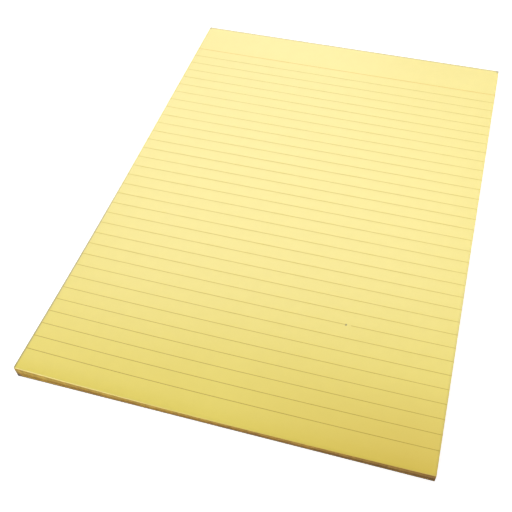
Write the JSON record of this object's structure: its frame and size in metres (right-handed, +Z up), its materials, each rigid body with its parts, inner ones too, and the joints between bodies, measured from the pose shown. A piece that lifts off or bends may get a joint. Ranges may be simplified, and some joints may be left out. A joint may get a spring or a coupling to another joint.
{
  "type": "ruled writing pad",
  "caption": "Flat pad of yellow ruled paper leaves, gummed along the head to a grey board, with the foot corners slightly fanned up.",
  "frame": {"origin": "on the table under the middle of the pad", "axes": "+Y towards the gummed head, +X to the reader's right, +Z up out of the top leaf"},
  "size_m": [0.21, 0.2974, 0.008],
  "materials": {
    "yellow_paper": "matte, uncoated",
    "grey_board": "matte, recycled chipboard",
    "padding_gum": "dried glue, dull",
    "line_ink": "printed on paper, matte",
    "heading_ink": "printed on paper, matte"
  },
  "bodies": {
    "root": {"backing_board": "grey_board", "sheet_block": "yellow_paper", "gum_binding": "padding_gum", "heading_line": "heading_ink", "ruled_lines": "line_ink"}
  },
  "joints": []
}
